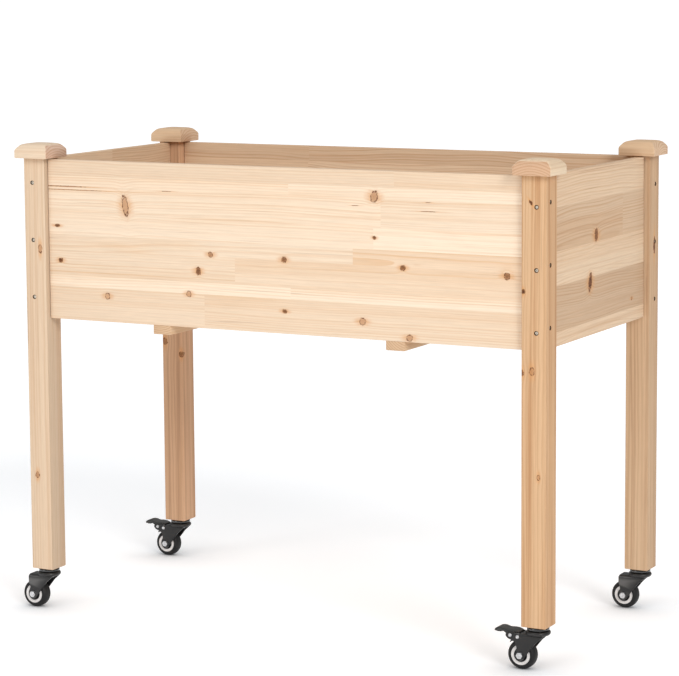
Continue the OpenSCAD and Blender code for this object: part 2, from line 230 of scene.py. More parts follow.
def wood(name, light=CREAM, dark=TAN, ends=None, ring=4.6, contrast=0.6, banding=0.8, streaks=0.5,
         figure=0.25, wander=(1.5, 13.0), knots=()):
    """Planed softwood cut from a log: rings round a pith, heartwood inside them, fibres, dark hairlines
    and knots. light is the sapwood, dark the late wood of each ring and ends the sawn ends; wander is
    how often per metre and how far, in mm, the pith strays."""
    band = tuple(c * k for c, k in zip(light, (0.93, 0.85, 0.78)))
    ends = ends or tuple(c * k for c, k in zip(light, (0.97, 0.92, 0.88)))
    g = Graph(name)
    place = g.attribute("grain")
    _, across, through = g.split(place)
    seed, pith_across, pith_through = g.split(g.attribute("strip"))
    lightness, warmth, end_grain = g.split(g.attribute("tone"))
    shift = g.join(g.times(seed, 3.17), g.times(seed, 7.71), g.times(seed, 1.93))

    def stretched(per_metre_along, per_metre_across, offset=(0.0, 0.0, 0.0)):
        scale = (per_metre_along, per_metre_across, per_metre_across)
        start = g.vector("ADD", shift, offset) if any(offset) else shift
        return g.vector("ADD", g.vector("MULTIPLY", place, scale), start)

    # Distance from the wandering pith gives the growth rings; knots push them aside
    often, far = wander
    side = g.plus(g.minus(across, pith_across), g.swing(stretched(often, 4.0), far * MM))
    deep = g.plus(g.minus(through, pith_through),
                  g.swing(stretched(often, 4.0, (5.2, 1.3, 7.7)), far * 0.8 * MM))
    radius = g.math("SQRT", g.plus(g.times(side, side), g.times(deep, deep)))
    radius = g.plus(radius, g.swing(stretched(10, 50), 0.7 * MM))
    if knots:
        nearest, drawn_out, push, darkness = knot_field(g, place, shift, knots)
        radius = g.plus(radius, push)
    uneven = g.swing(g.join(g.times(radius, 70.0), seed, 0.5), 0.9)
    rings = g.plus(g.math("DIVIDE", radius, ring * MM), uneven)
    year = g.math("FRACT", rings)
    late = g.times(g.step(year, 0.35, 0.90), g.step(year, 1.0, 0.93))
    season = g.noise(g.join(g.math("FLOOR", rings), seed, 2.0), 0.73, 1.0)
    strength = g.step(season, 0.34, 0.64, contrast * 0.15, contrast)
    strength = g.times(strength, g.step(g.noise(stretched(2.0, 12)), 0.25, 0.65, 0.45, 1.0))
    strip_share = g.plus(0.6, g.times(g.math("FRACT", g.times(seed, 3.7)), 0.6))
    strength = g.times(strength, strip_share)

    fibre = g.noise(stretched(20, 800), detail=3.0, roughness=0.6)
    hair = g.noise(stretched(60, 2600), detail=2.0)
    cloud = g.noise(stretched(0.9, 16), detail=2.0)
    flame = g.step(g.noise(stretched(1.3, 130, (4.4, 7.1, 2.6)), detail=3.0, roughness=0.6), 0.46, 0.68)
    split = g.step(g.noise(stretched(2.6, 300, (1.7, 9.2, 3.3)), detail=2.5, roughness=0.6), 0.66, 0.74)
    stain = g.step(g.noise(stretched(3.5, 34, (8.1, 2.2, 6.4)), detail=2.0), 0.60, 0.76)

    # Heartwood lies inside a ring that the seed picks, so its edge follows the grain
    edge = g.plus(0.030, g.times(g.math("FRACT", g.times(seed, 5.3)), 0.034))
    inside = g.minus(edge, g.plus(radius, g.swing(stretched(0.8, 30), 9 * MM)))
    heartwood = g.step(inside, -0.004, 0.006)
    zone = g.plus(g.times(heartwood, 0.60), g.step(cloud, 0.36, 0.70, 0.0, 0.55), clamp=True)
    colour = g.mix(g.times(zone, banding), light, band)
    colour = g.mix(g.times(late, strength), colour, dark)
    colour = g.mix(g.times(flame, figure), colour, dark)
    colour = g.mix(g.times(stain, 0.20), colour, STAIN)
    colour = g.mix(g.times(warmth, 0.6, clamp=True), colour, dark)
    colour = g.mix(g.times(split, streaks), colour, HAIRLINE)
    level = g.plus(0.63, g.plus(g.times(fibre, 0.24), g.times(hair, 0.08)))
    # lightness is each strip's tone, and also carries painted shadow on countersink walls and painted light
    # and shade on a post's right face
    level = g.times(level, g.plus(1.0, lightness))
    colour = g.mix(1.0, colour, g.grey(level), "MULTIPLY")
    if knots:
        colour = paint_knots(g, colour, shift, place, nearest, drawn_out, darkness)

    # Sawn ends drink more light and show the rings as arcs
    ends = g.mix(g.times(late, 0.50), ends, tuple(c * k for c, k in zip(dark, (0.85, 0.72, 0.64))))
    ends = g.mix(g.step(cloud, 0.45, 0.75, 0.0, 0.45), ends, END_STAIN)
    pores = g.noise(g.scaled(place, 1500), detail=1.0)
    ends = g.mix(1.0, ends, g.grey(g.plus(0.60, g.times(pores, 0.40))), "MULTIPLY")
    colour = g.mix(end_grain, colour, ends)

    height = g.plus(g.times(fibre, 0.6), g.plus(g.times(late, 0.35), g.times(hair, 0.25)))
    roughness = g.plus(0.50, g.times(fibre, 0.22))
    return g.finish(colour, roughness, g.bump(height, 0.12 * MM, 0.6), specular_ior_level=0.18)


# ---------------------------------------------------------------- metals, plastics and rubber
def coated_steel(name, colour=(0.006, 0.0055, 0.0055), gloss=0.22, edge_wear_and_sheen=0.0, dusty=0.35, varnish=0.0):
    """Black coating over pressed steel: faint orange peel, dust, and edges lightened both by wear and by a
    painted highlight.
    """
    g = Graph(name)
    place = g.place()
    peel = g.noise(place, 420.0, 2.0)
    dust = g.noise(place, 70.0, 4.0, 0.65)
    edge = g.step(g.add("ShaderNodeNewGeometry", {}, "Pointiness"), 0.52, 0.62)
    shade = g.mix(g.step(dust, 0.5, 0.85, 0.0, dusty), colour, (0.040, 0.038, 0.036))
    # edges are lightened here: worn edges plus a painted highlight along them
    shade = g.mix(g.times(edge, 0.15 + edge_wear_and_sheen), shade, (0.16, 0.155, 0.15))
    roughness = g.plus(gloss, g.times(dust, 0.18))
    return g.finish(shade, roughness, g.bump(peel, 0.05 * MM, 0.35), specular_ior_level=0.5,
                    coat_weight=varnish, coat_roughness=0.04)


def bright_steel(name, colour=(0.74, 0.74, 0.75), rough=0.22):
    """Zinc-plated steel with a faint spangle and handling marks."""
    g = Graph(name)
    place = g.place()
    spangle = g.noise(place, 900.0, 3.0, 0.6)
    marks = g.noise(place, 160.0, 3.0, 0.6)
    shade = g.mix(g.step(marks, 0.3, 0.75), colour, tuple(c * 0.72 for c in colour))
    roughness = g.plus(rough, g.times(spangle, 0.25))
    return g.finish(shade, roughness, g.bump(spangle, 0.03 * MM, 0.5), metallic=1.0)


def tread_rubber(name):
    """Black polyurethane tread: satin, with dust caught in a fine moulded texture."""
    g = Graph(name)
    place = g.place()
    grit = g.noise(place, 1300.0, 2.0)
    dust = g.noise(place, 90.0, 4.0, 0.7)
    shade = g.mix(g.step(dust, 0.45, 0.85, 0.0, 0.5), (0.010, 0.0095, 0.0095), (0.042, 0.040, 0.038))
    roughness = g.plus(0.42, g.times(dust, 0.3))
    return g.finish(shade, roughness, g.bump(grit, 0.06 * MM, 0.5), specular_ior_level=0.3)


def moulded_plastic(name, colour, rough):
    """Injection-moulded plastic with a fine spark-eroded surface."""
    g = Graph(name)
    place = g.place()
    grit = g.noise(place, 1700.0, 2.0)
    cloud = g.noise(place, 60.0, 3.0)
    shade = g.mix(g.step(cloud, 0.3, 0.7), colour, tuple(c * 0.84 for c in colour))
    roughness = g.plus(rough, g.times(grit, 0.15))
    return g.finish(shade, roughness, g.bump(grit, 0.03 * MM, 0.4), specular_ior_level=0.45)


def screw_finish(name):
    """Yellow-bronze passivated wood screw, mottled darker in patches by noise."""
    g = Graph(name)
    place = g.place()
    marks = g.noise(place, 800.0, 3.0, 0.6)
    shade = g.mix(g.step(marks, 0.45, 0.80), (0.86, 0.79, 0.68), (0.24, 0.18, 0.12))
    roughness = g.plus(0.16, g.times(marks, 0.3))
    return g.finish(shade, roughness, g.bump(marks, 0.02 * MM, 0.5), metallic=1.0)


# ---------------------------------------------------------------- mesh helpers
def mm(points):
    """The same points, from millimetres to metres."""
    return [(a * MM, b * MM) for a, b in points]


def turn(degrees, axis):
    """A rotation about an axis through the origin."""
    return Matrix.Rotation(math.radians(degrees), 4, axis)


def linked(thing):
    """Adds an object to the scene and hands it back."""
    bpy.context.scene.collection.objects.link(thing)
    return thing


def discard(piece):
    """Removes an object and its mesh."""
    mesh = piece.data
    bpy.data.objects.remove(piece)
    bpy.data.meshes.remove(mesh)


def new_object(name, bm, material=None):
    """Turns a bmesh into an object and frees the bmesh."""
    bmesh.ops.recalc_face_normals(bm, faces=bm.faces)
    mesh = bpy.data.meshes.new(name)
    bm.to_mesh(mesh)
    bm.free()
    if material:
        mesh.materials.append(material)
    return linked(bpy.data.objects.new(name, mesh))


def settle(piece):
    """Applies the piece's modifiers to its mesh."""
    bpy.context.view_layer.update()
    graph = bpy.context.evaluated_depsgraph_get()
    mesh = bpy.data.meshes.new_from_object(piece.evaluated_get(graph))
    piece.modifiers.clear()
    old = piece.data
    piece.data = mesh
    bpy.data.meshes.remove(old)
    mesh.name = piece.name


def boolean(piece, other, operation):
    """Cuts, joins or intersects piece with other, and removes other."""
    modifier = piece.modifiers.new("boolean", "BOOLEAN")
    modifier.operation = operation
    modifier.solver = "EXACT"
    modifier.object = other
    settle(piece)
    discard(other)


def smooth(piece, degrees=35.0):
    """Smooth shading that keeps edges sharper than this angle crisp."""
    piece.data.shade_smooth()
    piece.data.set_sharp_from_angle(angle=math.radians(degrees))
    return piece


def soften(piece, width, segments=2, degrees=30.0):
    """Rounds the piece's sharp edges."""
    modifier = piece.modifiers.new("bevel", "BEVEL")
    modifier.width = width
    modifier.segments = segments
    modifier.limit_method = "ANGLE"
    modifier.angle_limit = math.radians(degrees)
    modifier.use_clamp_overlap = True
    settle(piece)


def clean(piece, distance=0.002 * MM):
    """Merges points that fall on each other and drops faces with no area."""
    bm = bmesh.new()
    bm.from_mesh(piece.data)
    bmesh.ops.remove_doubles(bm, verts=bm.verts, dist=distance)
    bmesh.ops.dissolve_degenerate(bm, edges=bm.edges, dist=distance)
    bm.to_mesh(piece.data)
    bm.free()


def lofted(name, loops, material=None, capped=True, closed=False):
    """A skin through loops of points, each as long as the others or a single point."""
    bm = bmesh.new()
    rings = [[bm.verts.new(point) for point in loop] for loop in loops]
    if capped:
        bm.faces.new(rings[0])
        bm.faces.new(rings[-1])
    count = max(len(ring) for ring in rings)
    for first, second in zip(rings, rings[1:] + ([rings[0]] if closed else [])):
        for k in range(count):
            n = (k + 1) % count
            corners = (first[k % len(first)], first[n % len(first)],
                       second[n % len(second)], second[k % len(second)])
            unique = list(dict.fromkeys(corners))
            if len(unique) > 2:
                bm.faces.new(unique)
    return new_object(name, bm, material)


def extruded(name, outline, axis, low, high, material=None):
    """A closed outline of (first, second) points pushed along axis from low to high.

    For axis X the points are (Y, Z), for Y they are (X, Z) and for Z they are (X, Y)."""
    def at(a, b, c):
        return {"X": (c, a, b), "Y": (a, c, b), "Z": (a, b, c)}[axis]

    return lofted(name, [[at(a, b, level) for a, b in outline] for level in (low, high)], material)


def turned(name, profile, material=None, segments=64, closed=False):
    """Profile points (radius, height) turned round Z. A radius of 0 closes the end."""
    turns = [2 * math.pi * k / segments for k in range(segments)]
    loops = [[(radius * math.cos(t), radius * math.sin(t), height) for t in (turns if radius else [0])]
             for radius, height in profile]
    return lofted(name, loops, material, capped=False, closed=closed)


def moved(piece, matrix):
    """Bakes a matrix into the mesh, so that the piece stays at the origin."""
    piece.data.transform(matrix)
    if matrix.determinant() < 0:
        piece.data.flip_normals()
    piece.data.update()
    return piece


def joined(name, pieces):
    """One object from several: their meshes are put together and the others removed."""
    bm = bmesh.new()
    for piece in pieces:
        bm.from_mesh(piece.data)
    materials = list(pieces[0].data.materials)
    for piece in pieces:
        discard(piece)
    whole = new_object(name, bm)
    for material in materials:
        whole.data.materials.append(material)
    return whole


def arc(centre, radius, start, end, steps):
    """Points on an arc, in degrees from the first axis towards the second."""
    angles = (math.radians(start + (end - start) * k / steps) for k in range(steps + 1))
    return [(centre[0] + radius * math.cos(t), centre[1] + radius * math.sin(t)) for t in angles]


def rounded(points, radius, steps=5):
    """The closed outline with each corner rounded to about this radius."""
    result = []
    count = len(points)
    for i in range(count):
        before, here, after = (Vector(points[(i + k) % count]) for k in (-1, 0, 1))
        back = before - here
        ahead = after - here
        reach = min(radius, back.length * 0.45, ahead.length * 0.45)
        start = here + back.normalized() * reach
        end = here + ahead.normalized() * reach
        for k in range(steps + 1):
            t = k / steps
            point = start * (1 - t) ** 2 + here * 2 * t * (1 - t) + end * t ** 2
            result.append((point.x, point.y))
    return result


def loose_boxes(node):
    """(low, high) of each separate solid in a CAD node."""
    bm = bmesh.new()
    bm.from_mesh(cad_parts[node].data)
    bmesh.ops.remove_doubles(bm, verts=bm.verts, dist=0.01 * MM)
    seen = set()
    boxes = []
    for start in bm.verts:
        if start in seen:
            continue
        seen.add(start)
        island = [start]
        for vert in island:      # the list grows while it is walked
            for edge in vert.link_edges:
                other = edge.other_vert(vert)
                if other not in seen:
                    seen.add(other)
                    island.append(other)
        boxes.append([Vector(pick(v.co[k] for v in island) for k in range(3)) for pick in (min, max)])
    bm.free()
    return boxes


def show(piece, body, slot, *nodes):
    """Hands a finished piece to the frame: its body and the nodes it stands for, which are hidden. slot, its
    material slot, is not used.
    """
    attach(piece, body)
    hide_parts(*nodes)


# ---------------------------------------------------------------- screws
SCREW_NODES = ("panel_screws", "joist_screws", "cleat_screws", "floor_screws")
HEAD_R = 2.5 * MM
HEAD_SUNK = 0.9 * MM      # below the wood's face
HOLE_R = 3.9 * MM
HOLE_DEEP = 5 * MM


def screw_places():
    """Each wood screw as (node, head centre, direction out of the head, length)."""
    places = []
    middle = (cad_low + cad_high) / 2
    for node in SCREW_NODES:
        for low, high in loose_boxes(node):
            centre, size = (low + high) / 2, high - low
            axis = max(range(3), key=lambda k: size[k])
            away = 1.0 if centre[axis] > middle[axis] else -1.0
            out = Vector((0, 0, 0))
            out[axis] = {"panel_screws": away, "joist_screws": -1.0, "cleat_screws": -away,
                         "floor_screws": 1.0}[node]
            places.append((node, centre + out * (size[axis] / 2), out, size[axis]))
    return places


SCREWS = screw_places()


def upright(direction):
    """Rotation that turns +Z into this direction."""
    return direction.to_track_quat("Z", "Y").to_matrix().to_4x4()


def make_screws(material):
    """Countersunk screws with a cross recess, one piece for each CAD node."""
    shank = HEAD_R * 0.5
    arm, wide, deep = HEAD_R * 0.66, HEAD_R * 0.19, 1.8 * MM      # one arm of the recess
    cross = [(-arm, 0.5 * MM), (arm, 0.5 * MM), (arm * 0.55, -deep), (-arm * 0.55, -deep)]
    for node in SCREW_NODES:
        length = next(size for name, _, _, size in SCREWS if name == node)
        profile = [(0, 0), (HEAD_R * 0.90, 0), (HEAD_R, -0.25 * MM), (HEAD_R, -0.5 * MM), (shank, -2.6 * MM),
                   (shank, 5 * MM - length), (0, -length)]
        pattern = turned("pattern", profile, material, 32)
        for angle in (0, 90):
            slot = extruded("slot", cross, "Y", -wide, wide)
            boolean(pattern, moved(slot, turn(angle, "Z")), "DIFFERENCE")
        places = [(head - out * HEAD_SUNK, out) for name, head, out, _ in SCREWS if name == node]
        copies = []
        twist = random.Random(len(places))
        for head, out in places:
            copy = bpy.data.objects.new("copy", pattern.data.copy())
            spin = Matrix.Rotation(twist.uniform(0, math.pi), 4, "Z")
            copies.append(moved(copy, Matrix.Translation(head) @ upright(out) @ spin))
        discard(pattern)
        piece = joined(node.replace("screws", "screw_heads"), copies)
        smooth(piece, 30)
        show(piece, "frame", "screw_steel", node)


def cut_screw_holes(piece, low, high):
    """Countersinks the piece wherever a screw's head sits in its surface."""
    margin = 1.5 * MM
    profile = [(0, 3 * MM), (HOLE_R, 3 * MM), (HOLE_R, -3 * MM), (2.2 * MM, -HOLE_DEEP), (0, -HOLE_DEEP)]
    cutters = []
    for _, head, out, _ in SCREWS:
        if all(low[k] - margin < head[k] < high[k] + margin for k in range(3)):
            hole = turned("hole", profile, None, 32)
            cutters.append(moved(hole, Matrix.Translation(head) @ upright(out)))
    if cutters:
        boolean(piece, joined("holes", cutters), "DIFFERENCE")


def in_screw_hole(point):
    """Whether a point lies on the wall of a countersink."""
    for _, head, out, _ in SCREWS:
        depth = (head - point).dot(out)
        off_axis = (point - head + out * depth).length
        if 0.1 * MM < depth < HOLE_DEEP + 1 * MM and off_axis < HOLE_R + 0.2 * MM:
            return True
    return False


# ---------------------------------------------------------------- boards
AXES = {"X": Vector((1, 0, 0)), "Y": Vector((0, 1, 0)), "Z": Vector((0, 0, 1))}
FIRST_JOINT = (0.2, 0.7)           # from a strip's end to its first finger joint, metres
JOINT_GAP = (0.45, 0.8)            # from one finger joint to the next
SHADE_STRAY = (-0.015, 0.015)      # how far a length's lightness strays from its strip's
WARMTH_STRAY = (-0.05, 0.04)
# the countersink wall's lightness below is a painted shadow in the hole
HOLE_PAINTED_SHADOW = -0.75                 # lightness of a countersink's wall
SEED_STEP = 0.11                   # added to a length's seed for each strip below its own


def glued_strips(piece, centre, along, across, seed, rows, tones, pith):
    """Cuts the mesh where its strips are glued and where their lengths are finger-jointed.

    Returns (low, high, lengths) for each strip, across the board; each length is (start, end, seed,
    place of the pith, lightness, warmth), along it."""
    draw = random.Random(seed)
    spread = 60 if rows else 15      # how far across the board the pith may lie, mm
    bm = bmesh.new()
    bm.from_mesh(piece.data)
    edges = [-math.inf, *[r * MM for r in rows], math.inf]
    for edge in edges[1:-1]:
        bmesh.ops.bisect_plane(bm, geom=[*bm.verts, *bm.edges, *bm.faces], dist=1e-7,
                               plane_co=centre + across * edge, plane_no=across)
    reach = max((v.co - centre).dot(along) for v in bm.verts)
    strips = []
    for low, high in zip(edges, edges[1:]):
        joints = [-math.inf]
        place = -reach + draw.uniform(*FIRST_JOINT)
        while rows and place < reach - 0.1:
            joints.append(place)
            place += draw.uniform(*JOINT_GAP)
        joints.append(math.inf)
        for joint in joints[1:-1]:
            faces = [f for f in bm.faces if low < (f.calc_center_median() - centre).dot(across) < high]
            near = {*faces, *(e for f in faces for e in f.edges), *(v for f in faces for v in f.verts)}
            bmesh.ops.bisect_plane(bm, geom=list(near), dist=1e-7,
                                   plane_co=centre + along * joint, plane_no=along)
        base = tones[len(strips)] if tones else (0.0, 0.0)
        lengths = []
        for start, end in zip(joints, joints[1:]):
            wood_seed = draw.uniform(1, 9)
            heart = (draw.uniform(-1, 1) * spread * MM + pith[0] * MM, draw.uniform(0.7, 1.3) * pith[1] * MM)
            shade = base[0] + draw.uniform(*SHADE_STRAY)
            warmth = base[1] + draw.uniform(*WARMTH_STRAY)
            lengths.append((start, end, wood_seed, heart, shade, warmth))
        strips.append((low, high, lengths))
    bm.to_mesh(piece.data)
    bm.free()
    return strips


def mark_grain(piece, centre, along, across, seed, rows=(), tones=(), pith=(0.0, 60.0), side=0.0):
    """Splits the board into its glued strips and writes the attributes that wood() reads.

    rows are the strips' edges in mm across the board from its middle, and tones gives (lightness,
    warmth) for each strip. side is added to the lightness of the face that looks along across, which is
    cut the other way through the rings; it is painted light where positive and painted shade where negative."""
    through = along.cross(across)
    strips = glued_strips(piece, centre, along, across, seed, rows, tones, pith)
    mesh = piece.data
    grain, strip, tone = [mesh.attributes.new(kind, "FLOAT_VECTOR", "CORNER")
                          for kind in ("grain", "strip", "tone")]
    for face in mesh.polygons:
        middle = face.center - centre
        a, b = middle.dot(along), middle.dot(across)
        row = next(i for i, (low, high, _) in enumerate(strips) if low < b <= high)
        _, _, wood_seed, heart, shade, warmth = next(s for s in strips[row][2] if s[0] < a <= s[1])
        wood_seed += row * SEED_STEP if rows else 0.0
        sawn = 1.0 if abs(face.normal.dot(along)) > 0.6 else 0.0
        # side paints light on the face that looks along across where positive, and paints shade on it where
        # negative
        shade += side * (face.normal.dot(across) > 0.5)
        # a countersink's wall gets a painted shadow: its lightness is set very dark
        if in_screw_hole(face.center):
            shade, sawn = HOLE_PAINTED_SHADOW, 0.0
        for corner in face.loop_indices:
            point = mesh.vertices[mesh.loops[corner].vertex_index].co - centre
            grain.data[corner].vector = (point.dot(along), point.dot(across), point.dot(through))
            strip.data[corner].vector = (wood_seed, *heart)
            tone.data[corner].vector = (shade, warmth, sawn)


def board(name, node, outline_axis, outline, along, across, material, slot, seed,
          edge=1.2, rows=(), tones=(), pith=(0.0, 60.0), side=0.0):
    """A planed board: outline pushed through the node's box, edges eased, screw holes cut, grain laid."""
    low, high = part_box(node)
    k = "XYZ".index(outline_axis)
    piece = extruded(name, outline, outline_axis, low[k], high[k], material)
    soften(piece, edge * MM, 3)
    cut_screw_holes(piece, low, high)
    mark_grain(piece, (low + high) / 2, AXES[along], AXES[across], seed, rows, tones, pith, side)
    smooth(piece, 40)
    show(piece, "frame", slot, node)
    return piece


def rectangle(node, axis):
    """The node's box seen along axis, as an outline for extruded()."""
    low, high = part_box(node)
    a, b = [k for k in range(3) if k != "XYZ".index(axis)]
    return [(low[a], low[b]), (high[a], low[b]), (high[a], high[b]), (low[a], high[b])]


def make_posts():
    """Four square posts; each has its own knots."""
    front, back = -22, 22     # a post's faces from its middle, mm
    middle = 451              # height of a post's middle above the floor, mm
    # Sapwood, late wood, contrast, figure, painted light on the right face (painted shade where negative),
    # and the knots as (height, across, through, half length, half width, half depth, darkness, tilt)
    looks = {
        "front_left": ((0.905, 0.69, 0.49), (0.68, 0.40, 0.225), 0.5, 0.3, -0.20, (
            (664, 10, front, 7, 4, 10, 0.15, 0), (250, -6, front, 5, 4, 10, 0.3, 0))),
        "front_right": ((0.88, 0.575, 0.335), (0.53, 0.235, 0.085), 0.75, 0.6, 0.0, (
            (636, -19, front, 3.6, 3.6, 26, 0.95, 0), (505, -3, front, 6, 4.5, 10, 0.1, 0),
            (502, -21, front, 4.5, 3.5, 10, 0.8, 0), (781, -5, front, 4.5, 2.2, 8, 1.0, 35),
            (330, 9, front, 4, 3, 10, 0.1, 0))),
        "rear_right": ((0.80, 0.56, 0.355), (0.54, 0.31, 0.17), 0.6, 0.55, -0.03, (
            (665, 22, 1, 13, 10, 4.5, 0.9, 0), (300, 4, back, 7, 5, 9, 0.5, 0))),
        "rear_left": ((0.77, 0.485, 0.30), (0.45, 0.235, 0.125), 0.6, 0.55, 0.12, (
            (433, -16, front, 6, 5, 10, 0.6, 0), (409, 20, front, 5, 4, 10, 0.7, 0),
            (200, 10, back, 8, 6, 10, 0.7, 0))),
    }
    for n, corner in enumerate(CORNERS):
        node = "post_" + corner
        light, dark, contrast, figure, side, marks = looks[corner]
        knots = tuple((height - middle, *rest) for height, *rest in marks)
        look = wood("wood_" + node, light, dark, ring=4.2, contrast=contrast, figure=figure, knots=knots)
        board("post_wood_" + corner, node, "Z", rectangle(node, "Z"), "Z", "X", look, "post_wood",
              seed=11 + n, edge=1.6, pith=(30.0, 34.0), side=side)


def make_caps():
    """Square post caps with a rounded slope round the top."""
    # (inset from the side, height) going up the cap's side
    profile = [(1.1, 0), (0.3, 0.3), (0, 1.1), (0, 12.4), (0.2, 13.9), (0.8, 15.6), (1.9, 17.3),
               (5.6, 21.8), (6.9, 23.1), (8.7, 24.2), (11.0, 25.0), (14.5, 25.7), (20.0, 26.2), (27.0, 26.5)]
    # Sapwood, sawn ends and the way the grain runs
    looks = {"front_left": ((1.0, 0.81, 0.61), (0.86, 0.62, 0.47), "X"),
             "front_right": ((1.0, 0.79, 0.56), (0.81, 0.52, 0.33), "Y"),
             "rear_right": ((0.86, 0.60, 0.38), (0.86, 0.62, 0.42), "X"),
             "rear_left": ((0.84, 0.60, 0.39), (0.80, 0.55, 0.36), "X")}
    for n, corner in enumerate(CORNERS):
        node = "cap_" + corner
        light, ends, along = looks[corner]
        look = wood("wood_" + node, light=light, ends=ends, dark=(0.68, 0.39, 0.21), ring=4.4, contrast=0.5)
        low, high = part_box(node)
        centre = (low + high) / 2
        half = (high.x - low.x) / 2
        loops = []
        for inset, level in profile:
            side = half - inset * MM
            corner_r = min(1.6 * MM + inset * 0.35 * MM, side * 0.8)
            points = []
            for q, (sx, sy) in enumerate(((1, 1), (-1, 1), (-1, -1), (1, -1))):
                hub = (centre.x + sx * (side - corner_r), centre.y + sy * (side - corner_r))
                points += arc(hub, corner_r, 90 * q, 90 * q + 90, 4)
            loops.append([(x, y, low.z + level * MM) for x, y in points])
        piece = lofted("cap_wood_" + corner, loops, look)
        across = AXES["Y" if along == "X" else "X"]
        mark_grain(piece, centre, AXES[along], across, 31 + n, pith=(4.0, 52.0 if along == "Y" else -52.0))
        smooth(piece, 40)
        show(piece, "frame", "cap_wood", node)


LONG_ROWS = (286, 258, 238, 190, 153, 126, 80, 60, 0)        # glue lines up the panel, mm from its bottom
LONG_TONES = ((0.04, 0.36), (0.10, -0.06), (0.08, 0.02), (0.11, -0.12), (0.06, 0.24), (0.05, 0.30),
              (0.11, -0.12), (0.05, 0.30))
SHORT_ROWS = (286, 231, 158, 100, 24, 0)
SHORT_TONES = ((0.03, 0.05), (-0.05, 0.42), (0.04, 0.0), (-0.08, 0.50), (0.03, 0.05))


def make_panels():
    """Edge-glued, finger-jointed panels."""
    half = 143     # half of a panel's height, mm
    # Each knot: (along from the middle, down from the top, half length, half height, darkness, tilt)
    front = ((-301, 78, 5.5, 17, 0.12, -8), (-445, 118, 5.0, 2.6, 0.9, 0), (-439, 180, 4.2, 4.2, 1.0, 0),
             (-128, 156, 4.6, 4.6, 0.45, 0), (-153, 186, 4.6, 6.2, 0.85, 0), (17, 158, 4.8, 4.6, 0.8, 0),
             (-341, 240, 4.8, 5.2, 0.0, 0), (-173, 227, 4.4, 4.8, 0.10, 0), (18, 247, 4.2, 3.4, 0.85, 0),
             (191, 44, 6.0, 9, 0.22, 8), (191, 113, 2.8, 2.8, 0.9, 0), (244, 161, 4.4, 4.4, 0.85, 0),
             (434, 166, 5.2, 5.2, 0.7, 0), (168, 256, 5.6, 5.6, 0.12, 0), (256, 279, 5.6, 5.2, 0.18, 0),
            # resin streaks
            (-425, 47, 38, 0.9, 0.35, 0), (-408, 53, 55, 0.7, 0.3, 0), (-215, 49, 9, 0.6, 0.4, 0),
            (155, 60, 6, 0.6, 0.5, 0), (291, 65, 15, 0.6, 0.6, 0), (292, 50, 5, 0.5, 0.5, 0))
    right = ((-16, 117, 6.5, 10, 0.85, 6), (-42, 195, 6.5, 15, 1.0, 10), (150, 245, 3, 3, 0.3, 0))
    rear = ((-310, 90, 6, 8, 0.6, 0), (-120, 200, 5, 5, 0.8, 0), (60, 60, 4, 5, 0.7, 0),
            (240, 170, 7, 10, 0.4, 5), (390, 110, 4, 4, 0.9, 0))
    left = ((70, 90, 6, 8, 0.7, 0), (-80, 180, 5, 7, 0.8, -6))
    looks = {"front": front, "rear": rear, "right": right, "left": left}
    for n, (side, marks) in enumerate(looks.items()):
        node = "panel_" + side
        long = side in ("front", "rear")
        knots = tuple((a, half - down, 0, half_a, half_b, 400, dark, tilt)
                      for a, down, half_a, half_b, dark, tilt in marks)
        if side == "front":
            look = wood("wood_" + node, light=(0.99, 0.81, 0.625), dark=(0.80, 0.49, 0.26), contrast=0.56,
                        streaks=0.55, knots=knots)
        else:
            look = wood("wood_" + node, light=(0.92, 0.70, 0.49), dark=(0.66, 0.38, 0.205), contrast=0.66,
                        streaks=0.55, figure=0.35, wander=(3.0, 17.0), knots=knots)
        rows = LONG_ROWS if long else SHORT_ROWS
        inner = sorted(row - half for row in rows[1:-1])
        tones = list(reversed(LONG_TONES if long else SHORT_TONES))
        # A hair's gap to each post; the right panel has shrunk away from the rear post at the top
        a, b, c, d = rectangle(node, "Y" if long else "X")
        gap = 0.9 * MM
        far_gap = 5.0 * MM if side == "right" else gap
        outline = [(a[0] + gap, a[1]), (b[0] - gap, b[1]), (c[0] - far_gap, c[1]), (d[0] + gap, d[1])]
        along, through = "XY" if long else "YX"
        board("panel_wood_" + side, node, through, outline, along, "Z", look, "panel_wood",
              seed=51 + n, edge=0.9, rows=inner, tones=tones, pith=(0.0, 46.0 if long else 34.0))


